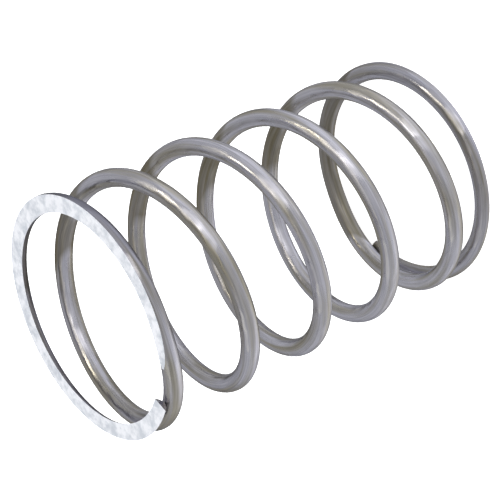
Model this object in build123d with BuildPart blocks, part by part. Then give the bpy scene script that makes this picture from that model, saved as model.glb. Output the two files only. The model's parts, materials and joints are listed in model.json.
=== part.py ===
from build123d import *
import os
from math import cos, pi, sin

# Compression spring: one length of round steel wire, wound right-handed, with both ends closed
# and ground flat. It stands on its bottom end: the origin is the middle of that end, +Z runs
# along the axis of the coil, and the cut end of the wire at the bottom lies on +X.
# Lengths are in millimetres and places along the wire are in turns from its bottom end.

# ---------------------------------------------------------------- driving dimensions
wire_diameter = 2.0
mean_diameter = 25.0  # of the coil, at the middle of the wire
free_length = 45.5  # between the two ground faces, with no load
total_turns = 6.25
closed_turns = 0.85  # wound nearly flat at each end, before the wire lifts away
easing_turns = 0.10  # over which the pitch then grows to that of the active coils
tip_thickness = 0.5  # left of the wire at its two cut ends by the grinding
tip_gap = 0.1  # clearance between a cut end and the coil that it closes on
chords_per_turn = 28  # straight lengths of wire, mitred together, that stand for one turn

# ---------------------------------------------------------------- what follows from them
wire_radius = wire_diameter / 2
mean_radius = mean_diameter / 2
half_turns = total_turns / 2
tip_height = tip_thickness - wire_radius
closing_rise = wire_diameter + tip_gap


def turns_at_full_pitch(turn):
    """Turns' worth of the extra pitch that the wire has gathered by this turn."""
    into_easing = min(max((turn - closed_turns) / easing_turns, 0), 1)
    beyond_easing = max(turn - closed_turns - easing_turns, 0)
    return easing_turns * (into_easing**3 - into_easing**4 / 2) + beyond_easing


# Two conditions give the two pitches: after one turn the wire has just cleared its own cut end,
# and after half of the turns it has climbed half of the free length.
extra_pitch = (free_length / 2 - tip_height - closing_rise * half_turns) / (
    turns_at_full_pitch(half_turns) - turns_at_full_pitch(1) * half_turns
)
closed_pitch = closing_rise - extra_pitch * turns_at_full_pitch(1)


def wire_height(turn):
    """Height of the wire's middle, the top half mirroring the bottom half."""
    if turn > half_turns:
        return free_length - wire_height(total_turns - turn)
    return tip_height + closed_pitch * turn + extra_pitch * turns_at_full_pitch(turn)


def wire_point(turn):
    angle = 2 * pi * turn
    return (mean_radius * cos(angle), mean_radius * sin(angle), wire_height(turn))


chords = round(total_turns * chords_per_turn)
route = [wire_point(total_turns * chord / chords) for chord in range(chords + 1)]

with BuildPart() as coil_spring:
    with BuildLine() as centre_line:
        Polyline(*route)
    with BuildSketch(Plane(origin=centre_line.line @ 0, z_dir=centre_line.line % 0)):
        Circle(wire_radius)
    sweep(transition=Transition.RIGHT)
    split(bisect_by=Plane.XY, keep=Keep.TOP)
    split(bisect_by=Plane.XY.offset(free_length), keep=Keep.BOTTOM)

coil_spring.part.label = "coil_spring"

os.makedirs("parts", exist_ok=True)
export_step(coil_spring.part, "parts/coil_spring.step")
print(f"pitch of the active coils {closed_pitch + extra_pitch:.2f} mm, of the closed ones {closed_pitch:.2f} mm")
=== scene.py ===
# %% [markdown]
# # A closed and ground compression spring
#
# The object is one length of drawn steel wire, wound into a coil. At each end the last turn is
# wound nearly flat against its neighbour, and then both ends are ground flat, so that the spring
# stands square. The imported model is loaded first: it gives the place and the size of
# everything that follows, in metres, with the axis of the coil along Z.

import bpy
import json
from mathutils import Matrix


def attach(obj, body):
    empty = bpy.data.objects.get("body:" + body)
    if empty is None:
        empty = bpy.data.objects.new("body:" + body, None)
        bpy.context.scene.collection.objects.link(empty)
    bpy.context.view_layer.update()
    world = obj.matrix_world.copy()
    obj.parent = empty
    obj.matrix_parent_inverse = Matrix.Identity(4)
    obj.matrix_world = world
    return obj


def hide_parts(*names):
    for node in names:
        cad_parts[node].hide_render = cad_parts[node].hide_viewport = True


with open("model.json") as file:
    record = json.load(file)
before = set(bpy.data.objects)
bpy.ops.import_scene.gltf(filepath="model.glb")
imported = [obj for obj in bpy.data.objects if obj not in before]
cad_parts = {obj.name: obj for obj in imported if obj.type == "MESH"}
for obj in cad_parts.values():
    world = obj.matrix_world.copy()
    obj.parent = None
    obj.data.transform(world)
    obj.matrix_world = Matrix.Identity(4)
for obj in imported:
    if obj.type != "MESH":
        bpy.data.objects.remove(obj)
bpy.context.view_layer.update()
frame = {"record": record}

# %% [markdown]
# ## Tools for the whole script
#
# Node trees make the shape, the finishes and the room. Each could be clicked together by hand, but
# written down they can be read from top to bottom, so one small function adds a node with its
# settings and its links. Colours are given as a colour picker shows them, in sRGB, and a second
# function turns them into the linear light that the shaders add up.

# %% Tools for the whole script
import json
from math import cos, pi, radians, sin

import bpy
from mathutils import Matrix, Quaternion, Vector

MM = 0.001
scene = bpy.context.scene


def add_node(tree, kind, inputs=None, **settings):
    """Add a node. An input is a value, a socket to link from, or a node, whose first output is used."""
    made = tree.nodes.new(kind)
    for name, value in settings.items():
        setattr(made, name, value)
    for socket, value in (inputs or {}).items():
        if isinstance(value, bpy.types.Node):
            value = value.outputs[0]
        if isinstance(value, bpy.types.NodeSocket):
            tree.links.new(value, made.inputs[socket])
        else:
            made.inputs[socket].default_value = value
    return made


def colour(code):
    """A shader colour from an sRGB hex value, which is what a colour picker shows."""
    shares = [int(code[start : start + 2], 16) / 255 for start in (1, 3, 5)]
    linear = [s / 12.92 if s <= 0.04045 else ((s + 0.055) / 1.055) ** 2.4 for s in shares]
    return (*linear, 1)


def set_ramp(ramp_node, stops):
    """Give a colour ramp its two stops, each a position and a colour."""
    for stop, (position, code) in zip(ramp_node.color_ramp.elements, stops):
        stop.position = position
        stop.color = colour(code)
    return ramp_node


print("one unit is a metre, so a millimetre is", MM)

# %% [markdown]
# ## The sizes of the spring
#
# A spring is ordered by its wire, its coil and its number of turns, so those are the sizes here.
# The overall ones come from the frame. The others say how the wire is wound at the ends: nearly
# flat for most of a turn, and then easing quickly into the pitch of the open coils.

# %% Sizes
spring_box = frame["record"]["size"]["bbox_m"]
wire_diameter = 2.0 * MM
mean_diameter = spring_box[0] - wire_diameter
free_length = spring_box[2]
total_turns = 6.25
closed_turns = 0.85
easing_turns = 0.10
tip_thickness = 0.5 * MM
tip_gap = 0.1 * MM
wire_radius = wire_diameter / 2
print(f"wire {wire_diameter / MM:.1f} mm on a mean diameter of {mean_diameter / MM:.1f} mm")

# %% [markdown]
# Two pitches follow from these. After one turn the wire has to clear its own cut end, and after
# half of the turns it has to be half-way up. Both are sums of the pitch along the wire, and the
# pitch grows by a smoothstep, whose running total is a short formula.

# %% Pitches
def turns_at_full_pitch(turn):
    """Turns' worth of the extra pitch that the wire has gathered by this turn."""
    eased = min(max((turn - closed_turns) / easing_turns, 0), 1)
    beyond = max(turn - closed_turns - easing_turns, 0)
    return easing_turns * (eased**3 - eased**4 / 2) + beyond


half_turns = total_turns / 2
tip_height = tip_thickness - wire_radius
closing_rise = wire_diameter + tip_gap
extra_pitch = (free_length / 2 - tip_height - closing_rise * half_turns) / (
    turns_at_full_pitch(half_turns) - turns_at_full_pitch(1) * half_turns
)
closed_pitch = closing_rise - extra_pitch * turns_at_full_pitch(1)
active_pitch = closed_pitch + extra_pitch
print(f"pitch {closed_pitch / MM:.2f} mm at the ends and {active_pitch / MM:.2f} mm between them")

# %% [markdown]
# ## The finish of the wire
#
# Spring wire is pulled cold through a round die, which burnishes it to a grey half gloss and
# leaves fine lines along its whole length. That is done while the wire is straight, so the pattern
# is laid out on the straight wire too: an attribute called "straight_wire" gives each point of the
# coil the place that it had before winding, with Z along the wire. A painted image would need a
# seam along the wire. A noise texture needs none and never repeats, and squeezed across the wire
# and stretched along it, it gives the lines, the film of oil and the scuffs.

# %% Start the drawn spring steel
drawn_spring_steel = bpy.data.materials.new("drawn_spring_steel")
drawn_spring_steel.use_nodes = True
steel = drawn_spring_steel.node_tree
steel.nodes.clear()
before_winding = add_node(steel, "ShaderNodeAttribute", attribute_name="straight_wire").outputs["Vector"]


def marks_along_wire(width, length, detail, roughness):
    """Noise on the straight wire, in marks about this wide across it and this long along it."""
    stretched = add_node(steel, "ShaderNodeMapping", {
        "Vector": before_winding, "Scale": (1 / width, 1 / width, 1 / length),
    })
    return add_node(steel, "ShaderNodeTexNoise", {
        "Vector": stretched, "Scale": 1.0, "Detail": detail, "Roughness": roughness,
    })


print("the wire's girth is", round(pi * wire_diameter / MM, 1), "mm")

# %% [markdown]
# The die leaves lines about 0.01 mm apart, far too fine to show, so they are drawn 0.15 mm apart.
# They do two things to the eye: the steel gets a faint grain along the wire, from their tone, and
# its highlights get slightly ragged edges, from their relief.

# %% Die lines
line_spacing = 0.15 * MM
line_length = 14 * MM
die_lines = marks_along_wire(line_spacing, line_length, detail=3.0, roughness=0.6)
line_tone = set_ramp(
    add_node(steel, "ShaderNodeValToRGB", {"Fac": die_lines}), [(0.3, "#8E8E92"), (0.6, "#FFFFFF")]
)
line_relief = add_node(steel, "ShaderNodeBump", {
    "Height": die_lines, "Strength": 0.35, "Distance": 0.02 * MM,
})
print("about", round(pi * wire_diameter / line_spacing), "die lines round the wire")

# %% [markdown]
# The coiling tools and other springs in the bin leave shallow scuffs, a little under a millimetre
# wide and about twice as long. They break a highlight into soft blobs, because the steel there is
# both rougher and slightly out of true. Their relief is laid over that of the lines.

# %% Scuffs
scuff_width = 0.8 * MM
scuff_length = 1.8 * MM
scuffs = marks_along_wire(scuff_width, scuff_length, detail=0.5, roughness=0.5)
scuffed_roughness = add_node(steel, "ShaderNodeMapRange", {
    "Value": scuffs, "From Min": 0.3, "From Max": 0.7, "To Min": 0.20, "To Max": 0.38,
})
scuff_relief = add_node(steel, "ShaderNodeBump", {
    "Height": scuffs, "Strength": 1.0, "Distance": 0.12 * MM, "Normal": line_relief,
})
print("scuffs of", round(scuff_width / MM, 1), "by", round(scuff_length / MM, 1), "mm")

# %% [markdown]
# A thin film of drawing soap and oil stays on the wire, in streaks a little under a millimetre wide
# and a centimetre or so long. It is slightly brown where it is thick, and where it is thin the steel
# keeps its own cool grey.

# %% Film of oil
streak_width = 0.8 * MM
streak_length = 13 * MM
streaks = marks_along_wire(streak_width, streak_length, detail=3.0, roughness=0.5)
film = set_ramp(
    add_node(steel, "ShaderNodeValToRGB", {"Fac": streaks}), [(0.36, "#B9B4A8"), (0.58, "#DAD9E3")]
)
print("streaks of", round(streak_width / MM, 1), "by", round(streak_length / MM, 1), "mm")

# %% [markdown]
# Two patches of the wire are painted darker, browner and duller, as painted shade and painted
# reflection of the neighbouring coils: a narrow one down one side of the coil, and a wide one low
# on the bottom turn. They belong to the wound spring and not to the straight wire, so they use the
# plain Object coordinates. How far a point lies in one direction from the middle of the bottom end
# decides whether it is painted. For the second patch that direction points steeply down, which
# keeps the patch low. The painted shade begins at a set border, and a soft noise breaks that up.

# %% Two patches of painted shade
on_coil = add_node(steel, "ShaderNodeTexCoord").outputs["Object"]
border_noise_size = 4 * MM
border_noise_reach = 3 * MM
border_softness = 0.4 * MM
border_noise = add_node(steel, "ShaderNodeTexNoise", {
    "Vector": on_coil, "Scale": 1 / border_noise_size, "Detail": 1.0, "Roughness": 0.5,
})
border_shift = add_node(steel, "ShaderNodeMath", {0: border_noise, 1: border_noise_reach}, operation="MULTIPLY")
# Painted shade and painted reflection: two patches where the wire is darker, browner and duller.
patch_shade = 0.0
for side, slope, border in ((275, 0.0, 12.5 * MM), (300, -2.0, 5.5 * MM)):
    darkest_side = (cos(radians(side)), sin(radians(side)), slope)
    towards = add_node(steel, "ShaderNodeVectorMath", {0: on_coil, 1: darkest_side}, operation="DOT_PRODUCT")
    into_patch = add_node(steel, "ShaderNodeMath", {
        0: towards.outputs["Value"], 1: border_shift,
    }, operation="ADD")
    patch = add_node(steel, "ShaderNodeMapRange", {
        "Value": into_patch, "From Min": border - border_softness, "From Max": border + border_softness,
    })
    patch_shade = add_node(steel, "ShaderNodeMath", {0: patch_shade, 1: patch}, operation="MAXIMUM")
print("each patch ends over", round(2 * border_softness / MM, 1), "mm")

# %% [markdown]
# The sides of the closed turns get painted shade, standing in for the shade and dark reflection of
# the next coil beside them, and more of it on the top end. It fades out towards the end of that turn,
# so it is measured along the wire from each cut end. The length is counted round the coil alone,
# without the rise, as "straight_wire" counts it.

# %% Painted shade on the closed turns
wire_length = pi * mean_diameter * total_turns
turn_shade_fades = 58 * MM
turn_shade_ends = 74 * MM
from_bottom = add_node(steel, "ShaderNodeSeparateXYZ", {0: before_winding}).outputs["Z"]
from_top = add_node(steel, "ShaderNodeMath", {0: wire_length, 1: from_bottom}, operation="SUBTRACT")
# Painted shade and painted reflection on the closed turns, strongest at the top end.
turn_shade = 0.0
for from_cut, amount in ((from_top, 1.0), (from_bottom, 0.35)):
    turn_shade_here = add_node(steel, "ShaderNodeMapRange", {
        "Value": from_cut, "From Min": turn_shade_fades, "From Max": turn_shade_ends,
        "To Min": amount, "To Max": 0.0,
    })
    turn_shade = add_node(steel, "ShaderNodeMath", {0: turn_shade, 1: turn_shade_here}, operation="MAXIMUM")
print("the smear ends", round(turn_shade_ends / (pi * mean_diameter), 2), "turns from each cut end")

# %% [markdown]
# Each layer darkens the one below it, as films on metal do and as painted shade does, so the
# colours are multiplied. The two patches of painted shade also add to the roughness. The tint lowers
# the bright rim that bare metal has where it is seen at a flat angle, because the eye looks through
# much more of the film there.

# %% Put the drawn spring steel together
# The two patches multiply in painted shade, #CAC6B8.
patch_shaded = add_node(steel, "ShaderNodeMix", {
    "Factor": patch_shade, 6: film, 7: colour("#CAC6B8"),
}, data_type="RGBA", blend_type="MULTIPLY")
# The closed turns multiply in a second painted shade, #BCBCC2.
turn_shaded = add_node(steel, "ShaderNodeMix", {
    "Factor": turn_shade, 6: patch_shaded.outputs[2], 7: colour("#BCBCC2"),
}, data_type="RGBA", blend_type="MULTIPLY")
line_strength = 0.4
lined = add_node(steel, "ShaderNodeMix", {
    "Factor": line_strength, 6: turn_shaded.outputs[2], 7: line_tone,
}, data_type="RGBA", blend_type="MULTIPLY")
patch_roughness = 0.18
wire_roughness = add_node(steel, "ShaderNodeMath", {
    0: patch_shade, 1: patch_roughness, 2: scuffed_roughness,
}, operation="MULTIPLY_ADD")
drawn_surface = add_node(steel, "ShaderNodeBsdfPrincipled", {
    "Base Color": lined.outputs[2], "Metallic": 1.0, "Roughness": wire_roughness,
    "Normal": scuff_relief, "Specular Tint": colour("#A6A6A8"),
})
add_node(steel, "ShaderNodeOutputMaterial", {"Surface": drawn_surface})
print("finish", drawn_spring_steel.name, "of", len(steel.nodes), "nodes")

# %% [markdown]
# ## The finish of the ground ends
#
# Both ends are ground together between two flat wheels. That leaves bare steel, much lighter than
# the wire, with fine scratches in one direction across the ring, and a mottled look where the grit
# has bitten more or less. The ends lie flat in space, so the pattern can use the plain Object
# coordinates: one noise squeezed into scratches, and one left round for the mottling. Scratches are
# about 0.05 mm wide, too fine to show, so they are drawn 0.18 mm apart.

# %% Scratches and mottling
ground_spring_steel = bpy.data.materials.new("ground_spring_steel")
ground_spring_steel.use_nodes = True
bare_steel = ground_spring_steel.node_tree
bare_steel.nodes.clear()
on_ring = add_node(bare_steel, "ShaderNodeTexCoord").outputs["Object"]
scratch_spacing = 0.18 * MM
scratch_length = 4 * MM
grinding_direction = radians(25)
scratches_at = add_node(bare_steel, "ShaderNodeMapping", {
    "Vector": on_ring, "Rotation": (0, 0, grinding_direction),
    "Scale": (1 / scratch_length, 1 / scratch_spacing, 1 / scratch_length),
})
scratches = add_node(bare_steel, "ShaderNodeTexNoise", {
    "Vector": scratches_at, "Scale": 1.0, "Detail": 3.0, "Roughness": 0.6,
})
mottle_size = 1.1 * MM
mottle = add_node(bare_steel, "ShaderNodeTexNoise", {
    "Vector": on_ring, "Scale": 1 / mottle_size, "Detail": 3.0, "Roughness": 0.6,
})
print("the ring is", round(wire_diameter / mottle_size, 1), "mottles wide")

# %% [markdown]
# The mottling sets the tone, and the scratches set the relief and the roughness. So many small
# scratches scatter the light nearly as paper does, so the metallic value is low for a steel, and
# the ring looks almost white where a lamp shines on it.

# %% Put the ground spring steel together
ground_tone = set_ramp(
    add_node(bare_steel, "ShaderNodeValToRGB", {"Fac": mottle}), [(0.35, "#D4D8E0"), (0.60, "#F8F9FE")]
)
scratch_relief = add_node(bare_steel, "ShaderNodeBump", {
    "Height": scratches, "Strength": 0.4, "Distance": 0.02 * MM,
})
ground_roughness = add_node(bare_steel, "ShaderNodeMapRange", {
    "Value": scratches, "From Min": 0.3, "From Max": 0.7, "To Min": 0.5, "To Max": 0.7,
})
ground_surface = add_node(bare_steel, "ShaderNodeBsdfPrincipled", {
    "Base Color": ground_tone, "Metallic": 0.45, "Roughness": ground_roughness,
    "Normal": scratch_relief,
})
add_node(bare_steel, "ShaderNodeOutputMaterial", {"Surface": ground_surface})
print("finish", ground_spring_steel.name, "of", len(bare_steel.nodes), "nodes")

# %% [markdown]
# ## The coil, by rule
#
# A coil could be drawn by hand as a curve, or made with a Screw modifier, but neither eases its
# pitch at the ends. Geometry Nodes can. The tree gets one named input for each size of the spring,
# so that another spring is only another set of numbers.

# %% Sockets of the node tree
tree = bpy.data.node_groups.new("closed_and_ground_spring", "GeometryNodeTree")
tree.is_modifier = True
tree.interface.new_socket("Geometry", in_out="OUTPUT", socket_type="NodeSocketGeometry")
spring_sizes = {
    "Wire Diameter": wire_diameter,
    "Mean Diameter": mean_diameter,
    "Free Length": free_length,
    "Turns": total_turns,
    "Closed Turns": closed_turns,
    "Easing Turns": easing_turns,
    "Closed Pitch": closed_pitch,
    "Active Pitch": active_pitch,
    "Tip Height": tip_height,
    "Steps Per Turn": 96,
    "Steps Per Side": 20,
}
socket_names = {}
for name, value in spring_sizes.items():
    kind = "NodeSocketInt" if isinstance(value, int) else "NodeSocketFloat"
    socket_names[name] = tree.interface.new_socket(name, in_out="INPUT", socket_type=kind).identifier
size = add_node(tree, "NodeGroupInput").outputs
print("the tree takes", ", ".join(spring_sizes))

# %% [markdown]
# The Spiral primitive gives points round a circle. The height of each one is the total of the
# pitch before it, which Accumulate Field adds up, one step of the wire at a time. The pitch of a
# step is read at its middle, from how many turns it is away from the nearer end.

# %% The line that the wire follows
coil_radius = add_node(tree, "ShaderNodeMath", {0: size["Mean Diameter"], 1: 0.5}, operation="MULTIPLY")
spiral = add_node(tree, "GeometryNodeCurveSpiral", {
    "Resolution": size["Steps Per Turn"], "Rotations": size["Turns"], "Height": 0.0,
    "Start Radius": coil_radius, "End Radius": coil_radius, "Reverse": True,
})
index = add_node(tree, "GeometryNodeInputIndex")
mid_step = add_node(tree, "ShaderNodeMath", {0: index, 1: 0.5}, operation="ADD")
turn = add_node(tree, "ShaderNodeMath", {0: mid_step, 1: size["Steps Per Turn"]}, operation="DIVIDE")
turn_left = add_node(tree, "ShaderNodeMath", {0: size["Turns"], 1: turn}, operation="SUBTRACT")
from_end = add_node(tree, "ShaderNodeMath", {0: turn, 1: turn_left}, operation="MINIMUM")
open_turn = add_node(tree, "ShaderNodeMath", {
    0: size["Closed Turns"], 1: size["Easing Turns"],
}, operation="ADD")
pitch = add_node(tree, "ShaderNodeMapRange", {
    "Value": from_end, "From Min": size["Closed Turns"], "From Max": open_turn,
    "To Min": size["Closed Pitch"], "To Max": size["Active Pitch"],
}, interpolation_type="SMOOTHSTEP")
rise = add_node(tree, "ShaderNodeMath", {0: pitch, 1: size["Steps Per Turn"]}, operation="DIVIDE")
climbed = add_node(tree, "GeometryNodeAccumulateField", {"Value": rise})
height = add_node(tree, "ShaderNodeMath", {
    0: climbed.outputs["Trailing"], 1: size["Tip Height"],
}, operation="ADD")
lift = add_node(tree, "ShaderNodeCombineXYZ", {"Z": height})
coil = add_node(tree, "GeometryNodeSetPosition", {"Geometry": spiral, "Offset": lift})
print("one step of the wire is", round(pi * mean_diameter / spring_sizes["Steps Per Turn"] / MM, 2), "mm")

# %% [markdown]
# ## The wire round that line
#
# Curve to Mesh would sweep a circle along the line, but where the ends are ground the wire has a
# flat side. So the profile here is a rectangle, whose four sides become the outer half of the wire,
# its top flat, its inner half and its bottom flat. Each point of the mesh keeps, as attributes, the
# middle of the wire there, its heading, how far along it is, and its place on the rectangle.

# %% Sweep a profile that knows its four sides
place = add_node(tree, "GeometryNodeInputPosition")
tangent = add_node(tree, "GeometryNodeInputTangent")
middle = add_node(tree, "GeometryNodeStoreNamedAttribute", {
    "Geometry": coil, "Name": "middle", "Value": place,
}, data_type="FLOAT_VECTOR")
heading = add_node(tree, "GeometryNodeStoreNamedAttribute", {
    "Geometry": middle, "Name": "heading", "Value": tangent,
}, data_type="FLOAT_VECTOR")
turn_here = add_node(tree, "ShaderNodeMath", {0: index, 1: size["Steps Per Turn"]}, operation="DIVIDE")
girth_of_coil = add_node(tree, "ShaderNodeMath", {0: size["Mean Diameter"], 1: pi}, operation="MULTIPLY")
run = add_node(tree, "ShaderNodeMath", {0: turn_here, 1: girth_of_coil}, operation="MULTIPLY")
along = add_node(tree, "GeometryNodeStoreNamedAttribute", {
    "Geometry": heading, "Name": "along", "Value": run,
}, data_type="FLOAT")
cuts = add_node(tree, "ShaderNodeMath", {0: size["Steps Per Side"], 1: 1}, operation="SUBTRACT")
rectangle = add_node(tree, "GeometryNodeCurvePrimitiveQuadrilateral", {"Width": 2.0, "Height": 1.0})
sides = add_node(tree, "GeometryNodeSubdivideCurve", {"Curve": rectangle, "Cuts": cuts})
profile = add_node(tree, "GeometryNodeStoreNamedAttribute", {
    "Geometry": sides, "Name": "side", "Value": place,
}, data_type="FLOAT_VECTOR")
swept = add_node(tree, "GeometryNodeCurveToMesh", {
    "Curve": along, "Profile Curve": profile, "Fill Caps": True,
})
print("the profile has", 4 * spring_sizes["Steps Per Side"], "points")

# %% [markdown]
# The points then move to their true places. Two directions span the section of the wire: outward
# from the axis, and upward across the wire. The angle at which a flat begins follows from how far
# the middle of the wire is from the grinding plane. Away from the ends that angle is straight up or
# straight down, so the flat has no width there.

# %% The two directions and the two angles
middle_at = add_node(tree, "GeometryNodeInputNamedAttribute", {"Name": "middle"}, data_type="FLOAT_VECTOR")
heading_at = add_node(tree, "GeometryNodeInputNamedAttribute", {"Name": "heading"}, data_type="FLOAT_VECTOR")
side_at = add_node(tree, "GeometryNodeInputNamedAttribute", {"Name": "side"}, data_type="FLOAT_VECTOR")
along_at = add_node(tree, "GeometryNodeInputNamedAttribute", {"Name": "along"}, data_type="FLOAT")
middle_xyz = add_node(tree, "ShaderNodeSeparateXYZ", {0: middle_at})
side_xyz = add_node(tree, "ShaderNodeSeparateXYZ", {0: side_at})
radius = add_node(tree, "ShaderNodeMath", {0: size["Wire Diameter"], 1: 0.5}, operation="MULTIPLY")

flat_place = add_node(tree, "ShaderNodeVectorMath", {0: middle_at, 1: (1, 1, 0)}, operation="MULTIPLY")
outward = add_node(tree, "ShaderNodeVectorMath", {0: flat_place}, operation="NORMALIZE")
across_both = add_node(tree, "ShaderNodeVectorMath", {
    0: outward, 1: heading_at,
}, operation="CROSS_PRODUCT")
upward = add_node(tree, "ShaderNodeVectorMath", {0: across_both}, operation="NORMALIZE")
upward_xyz = add_node(tree, "ShaderNodeSeparateXYZ", {0: upward})
reach_up = add_node(tree, "ShaderNodeMath", {
    0: radius, 1: upward_xyz.outputs["Z"],
}, operation="MULTIPLY")

to_floor = add_node(tree, "ShaderNodeMath", {0: 0.0, 1: middle_xyz.outputs["Z"]}, operation="SUBTRACT")
floor_share = add_node(tree, "ShaderNodeMath", {0: to_floor, 1: reach_up}, operation="DIVIDE")
floor_sine = add_node(tree, "ShaderNodeMath", {0: floor_share, 1: -1.0}, operation="MAXIMUM")
floor_angle = add_node(tree, "ShaderNodeMath", {0: floor_sine}, operation="ARCSINE")
to_top = add_node(tree, "ShaderNodeMath", {
    0: size["Free Length"], 1: middle_xyz.outputs["Z"],
}, operation="SUBTRACT")
top_share = add_node(tree, "ShaderNodeMath", {0: to_top, 1: reach_up}, operation="DIVIDE")
top_sine = add_node(tree, "ShaderNodeMath", {0: top_share, 1: 1.0}, operation="MINIMUM")
top_angle = add_node(tree, "ShaderNodeMath", {0: top_sine}, operation="ARCSINE")
print("ground off at each cut end:", round((wire_diameter - tip_thickness) / MM, 2), "mm")

# %% [markdown]
# The rectangle's height becomes the angle between those two, and its width becomes outward or
# inward. A last clamp puts the flats exactly on the two grinding planes.

# %% Turn the rectangle into the ground wire
angle = add_node(tree, "ShaderNodeMapRange", {
    "Value": side_xyz.outputs["Y"], "From Min": -0.5, "From Max": 0.5,
    "To Min": floor_angle, "To Max": top_angle,
})
angle_cosine = add_node(tree, "ShaderNodeMath", {0: angle}, operation="COSINE")
angle_sine = add_node(tree, "ShaderNodeMath", {0: angle}, operation="SINE")
across = add_node(tree, "ShaderNodeMath", {
    0: angle_cosine, 1: side_xyz.outputs["X"],
}, operation="MULTIPLY")
unit_section = add_node(tree, "ShaderNodeCombineXYZ", {"X": across, "Y": angle_sine})
section = add_node(tree, "ShaderNodeVectorMath", {0: unit_section, "Scale": radius}, operation="SCALE")
section_xyz = add_node(tree, "ShaderNodeSeparateXYZ", {0: section})
step_out = add_node(tree, "ShaderNodeVectorMath", {
    0: outward, "Scale": section_xyz.outputs["X"],
}, operation="SCALE")
step_up = add_node(tree, "ShaderNodeVectorMath", {
    0: upward, "Scale": section_xyz.outputs["Y"],
}, operation="SCALE")
step = add_node(tree, "ShaderNodeVectorMath", {0: step_out, 1: step_up}, operation="ADD")
skin = add_node(tree, "ShaderNodeVectorMath", {0: middle_at, 1: step}, operation="ADD")
skin_xyz = add_node(tree, "ShaderNodeSeparateXYZ", {0: skin})
between_planes = add_node(tree, "ShaderNodeClamp", {
    "Value": skin_xyz.outputs["Z"], "Min": 0.0, "Max": size["Free Length"],
})
skin_place = add_node(tree, "ShaderNodeCombineXYZ", {
    "X": skin_xyz.outputs["X"], "Y": skin_xyz.outputs["Y"], "Z": between_planes,
})
wire = add_node(tree, "GeometryNodeSetPosition", {"Geometry": swept, "Position": skin_place})
print("the tree so far has", len(tree.nodes), "nodes")

# %% [markdown]
# ## Seams and finishes
#
# Merge by Distance closes the flats that have no width. The place on the straight wire is stored
# for the finish before that, while it is still exact. The faces on the two planes get the ground
# finish, and the edge where grinding meets the round of the wire is kept sharp, as a real ground
# edge is, while the rest is shaded smooth.

# %% Store the straight wire and close the seams
straight = add_node(tree, "ShaderNodeCombineXYZ", {
    "X": section_xyz.outputs["X"], "Y": section_xyz.outputs["Y"], "Z": along_at,
})
marked = add_node(tree, "GeometryNodeStoreNamedAttribute", {
    "Geometry": wire, "Name": "straight_wire", "Value": straight,
}, data_type="FLOAT_VECTOR")
weld_distance = 0.001 * MM
closed = add_node(tree, "GeometryNodeMergeByDistance", {"Geometry": marked, "Distance": weld_distance})
smooth = add_node(tree, "GeometryNodeSetShadeSmooth", {"Geometry": closed, "Shade Smooth": True})
print("points closer than", weld_distance / MM, "mm become one")

# %% [markdown]
# A ground face is found by its place: all of it lies in one of the two grinding planes. Its edge is
# sharp where the wheel has cut into the round of the wire, so an edge is marked sharp either where
# its two faces meet at a steep angle, or where just one of them is ground. The second test catches
# the last of the long point, where the flat runs out and meets the round at hardly any angle.

# %% Find the ground faces and their edges
flatness = 0.0005 * MM
place_xyz = add_node(tree, "ShaderNodeSeparateXYZ", {0: place})
under_top = add_node(tree, "ShaderNodeMath", {0: size["Free Length"], 1: flatness}, operation="SUBTRACT")
on_floor = add_node(tree, "FunctionNodeCompare", {
    "A": place_xyz.outputs["Z"], "B": flatness,
}, operation="LESS_THAN")
on_top = add_node(tree, "FunctionNodeCompare", {
    "A": place_xyz.outputs["Z"], "B": under_top,
}, operation="GREATER_THAN")
on_end = add_node(tree, "FunctionNodeBooleanMath", {0: on_floor, 1: on_top}, operation="OR")
ground_share = add_node(tree, "GeometryNodeFieldOnDomain", {0: on_end}, data_type="FLOAT", domain="FACE")
half_ground = add_node(tree, "FunctionNodeCompare", {
    "A": ground_share, "B": 0.5, "Epsilon": 0.25,
}, operation="EQUAL")
edge_angle = add_node(tree, "GeometryNodeInputMeshEdgeAngle")
steepest_smooth = radians(30)
bent = add_node(tree, "FunctionNodeCompare", {
    "A": edge_angle, "B": steepest_smooth,
}, operation="GREATER_THAN")
crease = add_node(tree, "FunctionNodeBooleanMath", {0: bent, 1: half_ground}, operation="OR")
creased = add_node(tree, "GeometryNodeStoreNamedAttribute", {
    "Geometry": smooth, "Name": "sharp_edge", "Value": crease,
}, data_type="BOOLEAN", domain="EDGE")
print("a ground face lies within", flatness / MM, "mm of a grinding plane")

# %% [markdown]
# The attributes that only helped to build the wire are dropped, so that the finished mesh carries
# nothing but the straight wire's place, which its finish reads. Realize Instances makes sure that
# all of it is real mesh. The whole wire gets the drawn finish first, and the ground faces then get
# theirs over it, which is the order of the work in the factory too.

# %% Drop the helpers and give the finishes
cleared = creased
for name in ("middle", "heading", "side", "along"):
    cleared = add_node(tree, "GeometryNodeRemoveAttribute", {"Geometry": cleared, "Name": name})
real = add_node(tree, "GeometryNodeRealizeInstances", {"Geometry": cleared})
drawn = add_node(tree, "GeometryNodeSetMaterial", {"Geometry": real, "Material": drawn_spring_steel})
ground = add_node(tree, "GeometryNodeSetMaterial", {
    "Geometry": drawn, "Selection": on_end, "Material": ground_spring_steel,
})
add_node(tree, "NodeGroupOutput", {0: ground})
print("the whole tree has", len(tree.nodes), "nodes")

# %% [markdown]
# ## The finished wire
#
# The tree runs once, as a modifier on an empty mesh, and its result is kept as a plain mesh, which
# needs no tree any more. The piece rides on the only body and stands in for the plain solid of the
# model.

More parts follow.
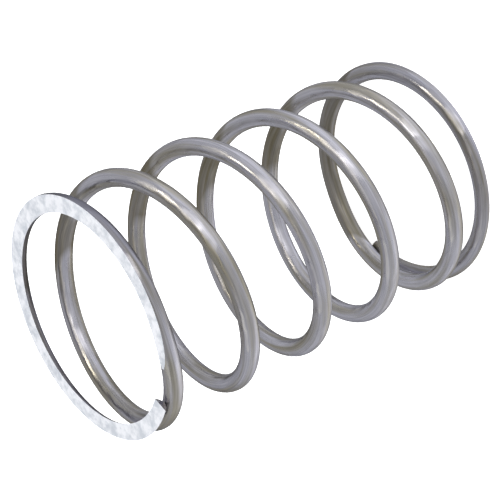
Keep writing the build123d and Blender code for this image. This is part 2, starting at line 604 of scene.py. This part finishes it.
# %% Run the tree and keep its result as a plain mesh
coil_spring = bpy.data.objects.new("wound_wire", bpy.data.meshes.new("empty"))
scene.collection.objects.link(coil_spring)
modifier = coil_spring.modifiers.new("spring", "NODES")
modifier.node_group = tree
for name, value in spring_sizes.items():
    modifier[socket_names[name]] = value
depsgraph = bpy.context.evaluated_depsgraph_get()
wound = bpy.data.meshes.new_from_object(
    coil_spring.evaluated_get(depsgraph), preserve_all_data_layers=True, depsgraph=depsgraph
)
coil_spring.modifiers.clear()
coil_spring.data = wound
wound.name = "wound_wire"
print("wire of", len(wound.vertices), "points and", len(wound.polygons), "faces")
print("finishes", [m.name for m in wound.materials], "and attributes", [a.name for a in wound.attributes])

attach(coil_spring, "root")
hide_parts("coil_spring")

# %% [markdown]
# ## The floor
#
# A small bright part is shown on white, with nothing round it, so the floor is a sheet of matt white
# paper that also glows by itself, and hardly any shadow shows on it. The wire would mirror it and
# lose the dark side that makes it look round, so the floor is left out of reflections.

# %% Floor
floor_mesh = bpy.data.meshes.new("floor")
floor_reach = 3.0
floor_mesh.from_pydata(
    [(x * floor_reach, y * floor_reach, 0) for x, y in ((-1, -1), (1, -1), (1, 1), (-1, 1))],
    [],
    [(0, 1, 2, 3)],
)
floor = bpy.data.objects.new("floor", floor_mesh)
scene.collection.objects.link(floor)
paper = bpy.data.materials.new("matt_white_paper")
paper.use_nodes = True
paper_shader = paper.node_tree.nodes["Principled BSDF"]
paper_shader.inputs["Base Color"].default_value = colour("#F4F4F4")
paper_shader.inputs["Roughness"].default_value = 1.0
paper_shader.inputs["Emission Color"].default_value = colour("#FFFFFF")
paper_shader.inputs["Emission Strength"].default_value = 0.8
floor_mesh.materials.append(paper)
floor.visible_glossy = False
print("floor", 2 * floor_reach, "m square")

# %% [markdown]
# ## The camera
#
# The spring stands up in the model but lies across the picture, with its ground end to the lower
# left. That is one direction to look from, given by two angles, and one roll of the camera. A long
# lens close to the object keeps the near coil only a little larger than the far one.

# %% Camera
axis_middle = Vector((0, 0, free_length / 2))
azimuth, elevation, roll = radians(148.78), radians(33.463), radians(-114.95)
distance = 180.75 * MM
aim_sideways, aim_upwards = -0.61 * MM, 0.98 * MM
towards_camera = Vector((1, 0, 0))
towards_camera.rotate(Quaternion((0, 1, 0), -elevation))
towards_camera.rotate(Quaternion((0, 0, 1), azimuth))
upright = towards_camera.to_track_quat("Z", "Y")
aim = axis_middle + upright @ Vector((aim_sideways, aim_upwards, 0))
camera_data = bpy.data.cameras.new("camera")
camera_data.sensor_width = 36
camera_data.lens = 119.24
camera_data.clip_start = 0.01
camera = bpy.data.objects.new("camera", camera_data)
camera.rotation_mode = "QUATERNION"
camera.rotation_quaternion = upright @ Quaternion((0, 0, 1), roll)
camera.location = aim + towards_camera * distance
scene.collection.objects.link(camera)
scene.camera = camera
print("camera at", [round(c, 4) for c in camera.location])

# %% [markdown]
# ## The lights
#
# Polished round wire shows its surroundings as long stripes, so each soft panel becomes one
# stripe, and its size decides how wide and how soft that is. A lamp is placed by the direction in
# which it would be seen from the spring, in the camera's own right, up and near: that makes it easy
# to say which side of the wire it lights.

# %% A soft panel
panel_distance = 0.4
picture_axes = camera.rotation_quaternion.to_matrix()


def soft_panel(name, seen_at, size, power, tint, turn=0.0):
    """A soft panel that the spring sees at (right, up, near). Metres, watts, and a turn in degrees."""
    lamp = bpy.data.lights.new(name, "AREA")
    lamp.shape = "RECTANGLE"
    lamp.size, lamp.size_y = size
    lamp.energy = power
    lamp.color = colour(tint)[:3]
    panel = bpy.data.objects.new(name, lamp)
    outward = (picture_axes @ Vector(seen_at)).normalized()
    picture_right = picture_axes @ Vector((1, 0, 0))
    width_axis = (picture_right - outward * picture_right.dot(outward)).normalized()
    facing = Matrix((width_axis, outward.cross(width_axis), outward)).transposed().to_quaternion()
    panel.location = axis_middle + outward * panel_distance
    panel.rotation_mode = "QUATERNION"
    panel.rotation_quaternion = facing @ Quaternion((0, 0, 1), radians(turn))
    panel.visible_camera = False
    scene.collection.objects.link(panel)
    return panel


# %% [markdown]
# Each lamp below is one mark on the steel. The long panel is the broad stripe down each front coil,
# the warm and the small lamp are the short sparks before it, and the low card is the thin cream
# line at the foot of the coils. The upper window and the lower card lift the top and the side away
# from the stripe. The last lamp is there for the ground ring alone: it faces the ring squarely and
# makes it nearly white, and it is kept out of the wire's reflections.

# %% Lamps
soft_panel("long_panel", (-0.15, 0.29, 0.93), (0.56, 0.11), 0.28, "#FCFAF4", turn=33)
soft_panel("warm_lamp", (-0.76, 0.20, 0.60), (0.22, 0.08), 0.085, "#FFF6D6")
soft_panel("small_lamp", (-0.80, 0.24, 0.54), (0.09, 0.05), 0.07, "#FFF6DA")
soft_panel("upper_window", (0.38, 0.88, 0.25), (0.65, 0.45), 0.24, "#F8FAFF")
soft_panel("lower_card", (-0.66, -0.28, 0.70), (0.25, 0.42), 0.11, "#FFF6D6")
soft_panel("low_card", (-0.42, -0.86, 0.19), (0.22, 0.14), 0.035, "#FFFAD6")
end_lamp = soft_panel("end_lamp", (-0.757, -0.352, 0.55), (0.30, 0.30), 1.12, "#F4F8FF")
end_lamp.visible_glossy = False

# %% [markdown]
# The rest of the room is an even pale grey, a little darker overhead. It is what the wire mirrors
# wherever no panel is, so it sets how dark the darkest steel gets. Behind the spring, low on the
# right, the white table shows, and gives the rim of each front coil its pale edge.

# %% Room
world = bpy.data.worlds.new("studio")
world.use_nodes = True
room = world.node_tree
sky_direction = add_node(room, "ShaderNodeTexCoord").outputs["Generated"]
sky_xyz = add_node(room, "ShaderNodeSeparateXYZ", {0: sky_direction})
level = add_node(room, "ShaderNodeMapRange", {
    "Value": sky_xyz.outputs["Z"], "From Min": -1.0, "From Max": 1.0,
})
walls = set_ramp(
    add_node(room, "ShaderNodeValToRGB", {"Fac": level}), [(0.5, "#CFD0D2"), (1.0, "#A2A3A5")]
)
table_side = picture_axes @ Vector((0.72, -0.30, -0.62))
towards_table = add_node(room, "ShaderNodeVectorMath", {
    0: sky_direction, 1: table_side.normalized(),
}, operation="DOT_PRODUCT")
table_edge, table_middle = 0.65, 0.95
table = add_node(room, "ShaderNodeMapRange", {
    "Value": towards_table.outputs["Value"], "From Min": table_edge, "From Max": table_middle,
})
lit_walls = add_node(room, "ShaderNodeMix", {
    "Factor": table, 6: walls, 7: colour("#FFFFFF"),
}, data_type="RGBA")
room.links.new(lit_walls.outputs[2], room.nodes["Background"].inputs["Color"])
scene.world = world
scene.view_settings.view_transform = "Standard"
print("room from", [round(c, 2) for c in walls.color_ramp.elements[0].color[:3]], "at the walls")
